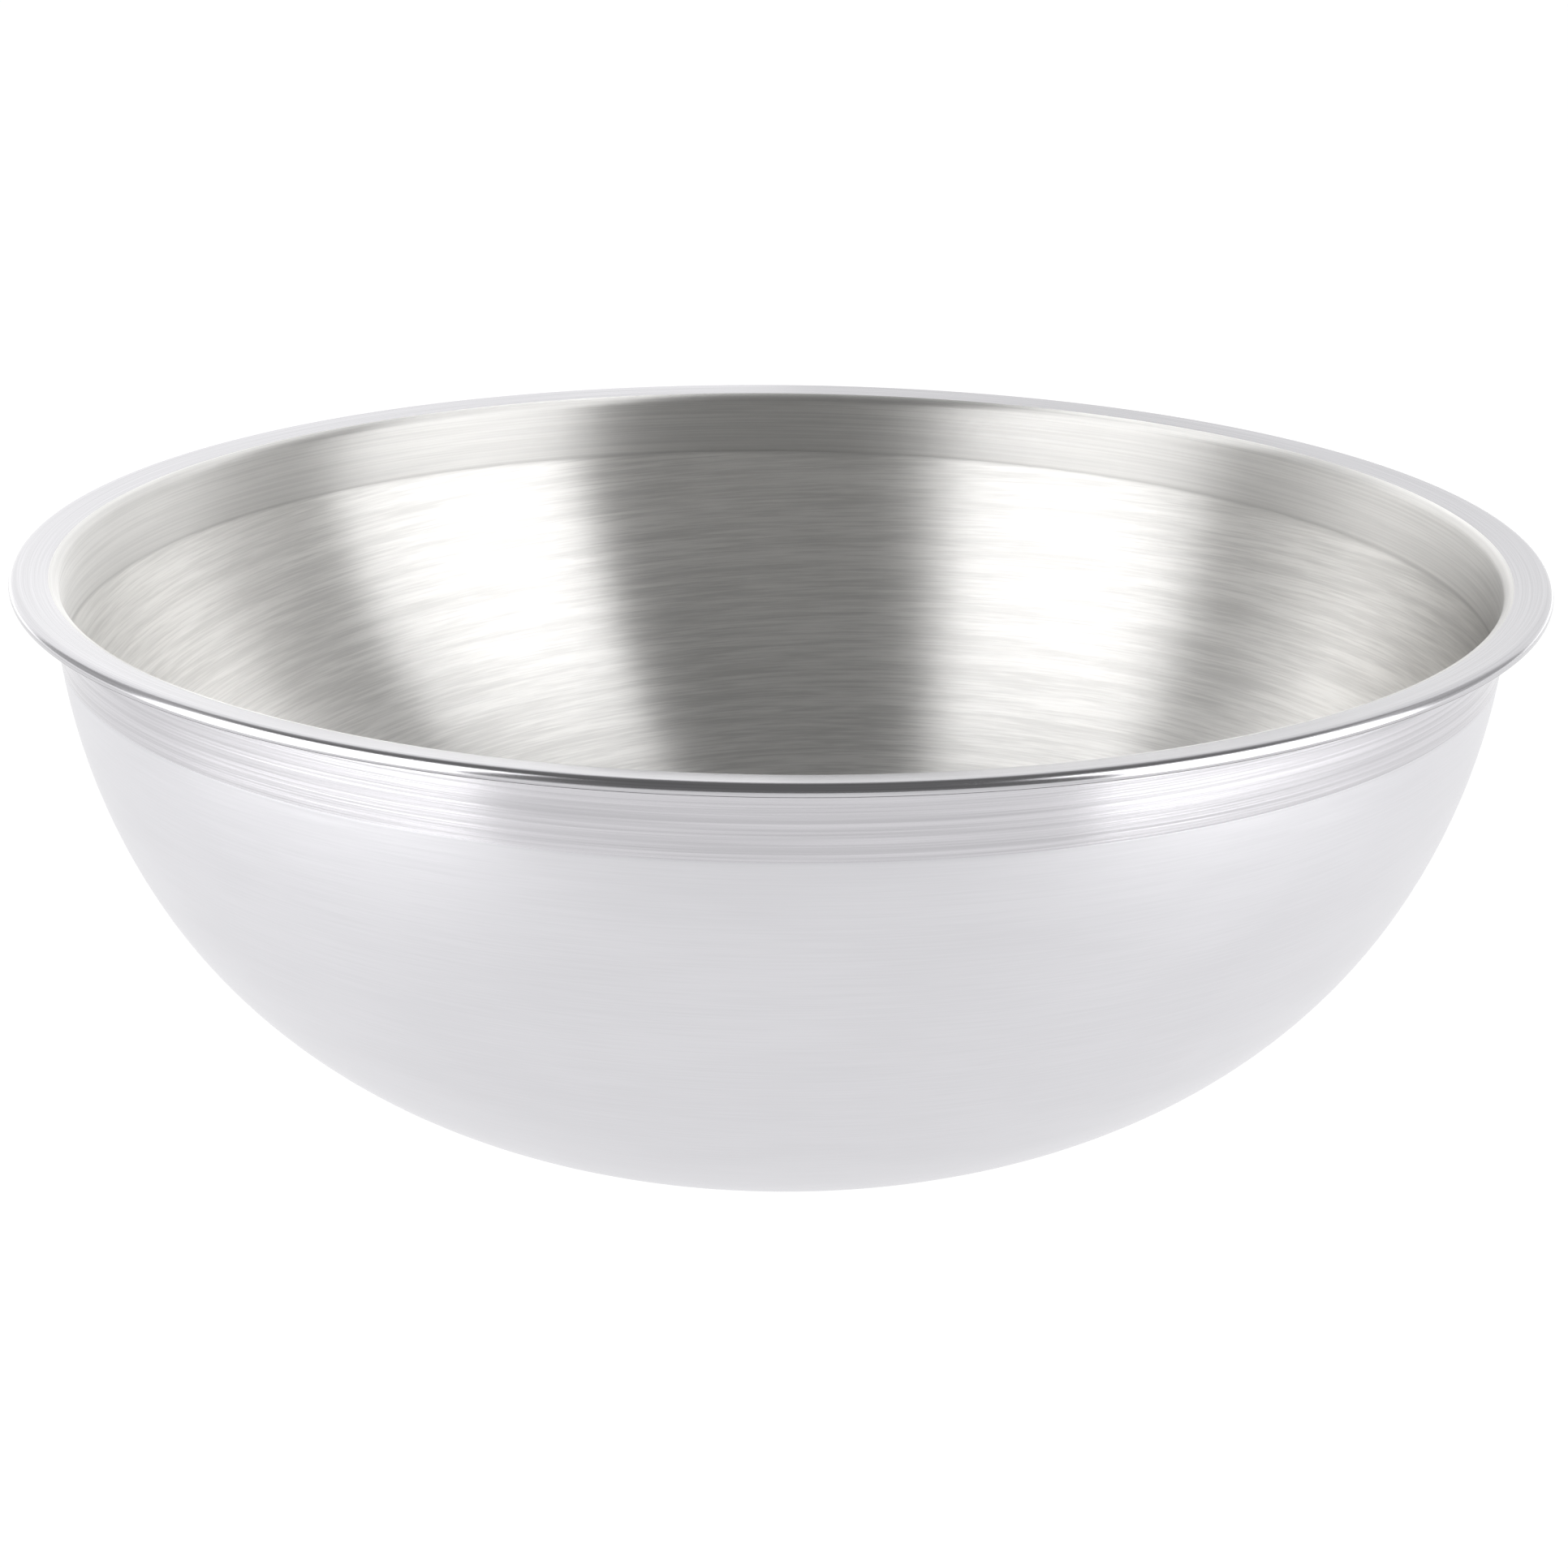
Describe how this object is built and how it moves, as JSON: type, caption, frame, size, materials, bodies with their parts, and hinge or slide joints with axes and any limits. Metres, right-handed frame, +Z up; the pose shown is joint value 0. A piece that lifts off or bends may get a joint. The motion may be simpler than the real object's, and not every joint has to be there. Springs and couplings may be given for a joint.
{
  "type": "mixing bowl",
  "caption": "Round deep stainless steel mixing bowl with a rolled outward rim, a straight band under it and a small flat base.",
  "frame": {"origin": "middle of the flat base, on the surface that the bowl stands on", "axes": "+Z up along the axis of the bowl, towards its open mouth"},
  "size_m": [0.4, 0.3998, 0.1515],
  "materials": {
    "steel": "satin, brushed round the bowl"
  },
  "bodies": {
    "root": {"bowl": "steel"}
  },
  "joints": []
}
